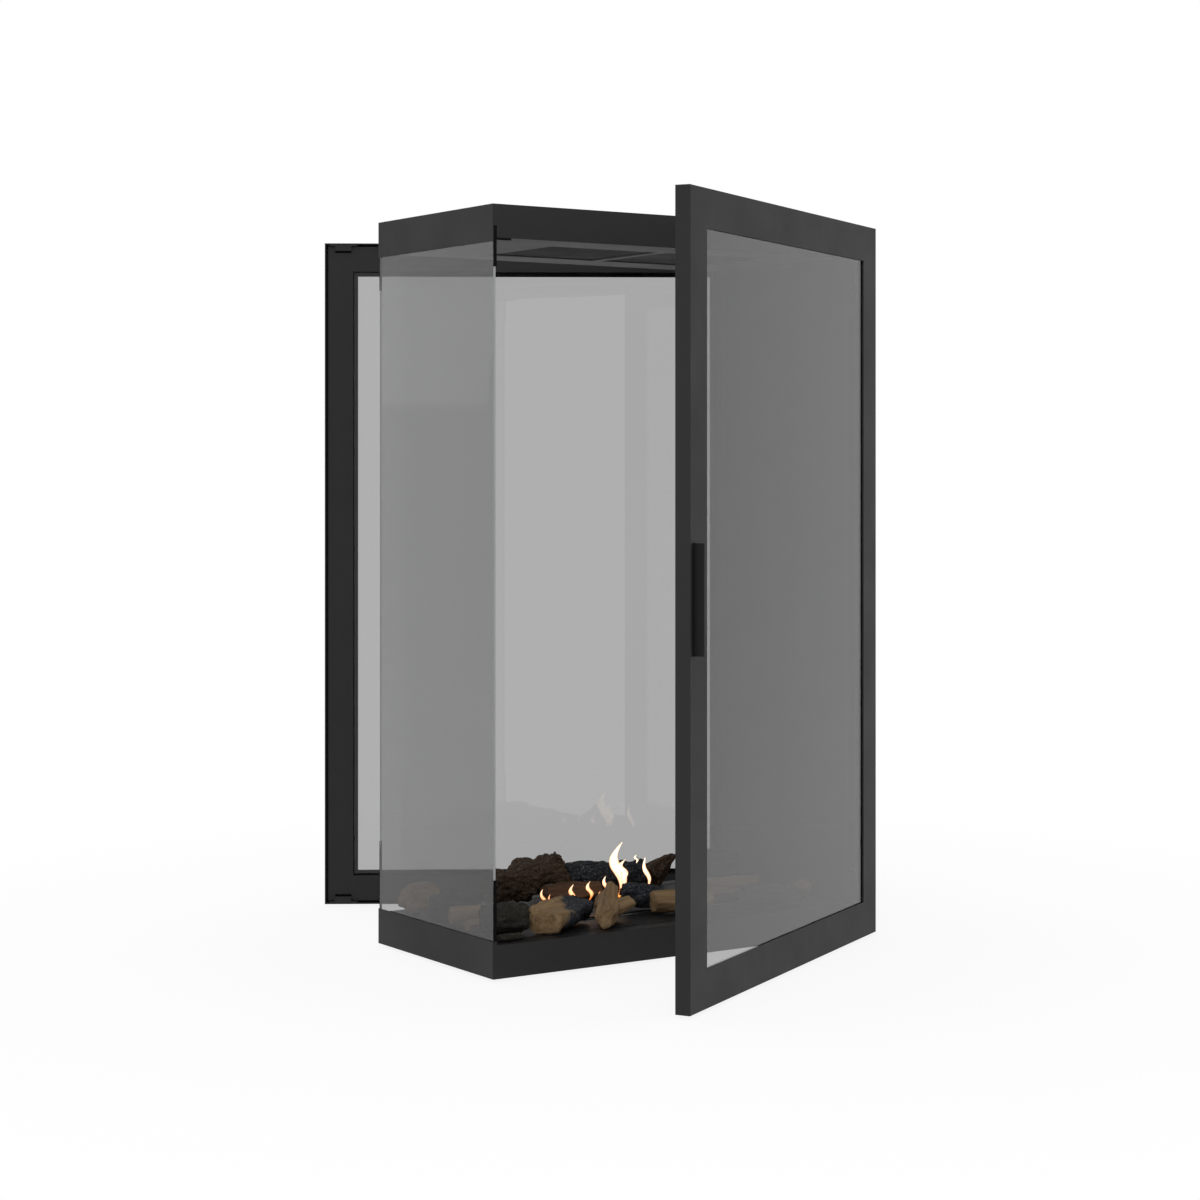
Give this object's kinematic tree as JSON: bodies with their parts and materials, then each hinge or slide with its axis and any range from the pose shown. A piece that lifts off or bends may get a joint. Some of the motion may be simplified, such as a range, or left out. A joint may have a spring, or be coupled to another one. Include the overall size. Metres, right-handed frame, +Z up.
{
  "type": "double-sided ethanol fireplace",
  "caption": "See-through fireplace with a plinth and hood, a glass pane at one end, a solid wall at the other, and a hinged glass door on each long side.",
  "frame": {"origin": "middle of the casing's plan, on the floor that the base plate stands on", "axes": "+X along the width towards the solid end wall, -Y towards the front door, +Z up"},
  "size_m": [0.695, 1.08, 1.105],
  "materials": {
    "black_steel": "satin black powder coat",
    "dark_steel": "matt black paint",
    "hearth_steel": "semi-gloss black paint",
    "bright_steel": "brushed",
    "bush_brass": "machined",
    "tinted_glass": "grey tinted, clear",
    "black_seal": "matt",
    "ceramic_wool": "matt fibre",
    "insulation_board": "matt",
    "log_brown": "rough bark",
    "log_charred": "rough charred bark",
    "log_tan": "split wood grain"
  },
  "bodies": {
    "casing": {"base_plate": "black_steel", "burner_tank": "bright_steel", "burner_top": "hearth_steel", "burner_wool": "ceramic_wool", "catch_strikers": "bright_steel", "ceiling_baffles": "dark_steel", "ceiling_panel": "black_steel", "glass_clips": "dark_steel", "hearth_plate": "hearth_steel", "hinge_arms": "black_steel", "hinge_pins": "bright_steel", "hinge_posts": "black_steel", "hood_shell": "black_steel", "hood_side_trim": "black_steel", "kindling": "log_tan", "log_back_centre": "log_charred", "log_back_left": "log_brown", "log_back_pointed": "log_charred", "log_front_centre": "log_tan", "log_front_far": "log_tan", "log_front_left": "log_charred", "log_front_right": "log_tan", "log_left_tan": "log_tan", "log_middle_grey": "log_charred", "log_middle_split": "log_brown", "log_right_bark": "log_charred", "log_right_plank": "log_tan", "logs_left_rear": "log_charred", "logs_right_front": "log_tan", "plinth_shell": "black_steel", "plinth_side_trim": "black_steel", "shutter_rails": "bright_steel", "side_glass": "tinted_glass", "side_glass_seals": "black_seal", "wall_casing": "black_steel", "wall_insulation": "insulation_board", "wall_liner": "black_steel"},
    "front_door": {"front_door_bead": "dark_steel", "front_door_catches": "black_steel", "front_door_gasket": "black_seal", "front_door_glass": "tinted_glass", "front_door_handle": "black_steel", "front_door_hinge_bushes": "bush_brass", "front_door_inner_frame": "black_steel", "front_door_rails": "black_steel", "front_door_spacers": "black_steel", "front_door_stiles": "black_steel"},
    "rear_door": {"rear_door_bead": "dark_steel", "rear_door_catches": "black_steel", "rear_door_gasket": "black_seal", "rear_door_glass": "tinted_glass", "rear_door_handle": "black_steel", "rear_door_hinge_bushes": "bush_brass", "rear_door_inner_frame": "black_steel", "rear_door_rails": "black_steel", "rear_door_spacers": "black_steel", "rear_door_stiles": "black_steel"},
    "burner_shutter": {"burner_shutter": "bright_steel", "shutter_stud": "bright_steel"}
  },
  "joints": [
    {"name": "front_door_hinge", "type": "hinge", "parent": "casing", "child": "front_door", "pos_m": [0.3168, -0.1855, 0.555], "axis": [0, 0, 1], "range_deg": [-29.7, 60.3]},
    {"name": "rear_door_hinge", "type": "hinge", "parent": "casing", "child": "rear_door", "pos_m": [0.3168, 0.1855, 0.555], "axis": [0, 0, -1], "range_deg": [-32, 58]},
    {"name": "burner_shutter_slide", "type": "slide", "parent": "casing", "child": "burner_shutter", "axis": [-1, 0, 0], "range_m": [0, 0.24]}
  ]
}
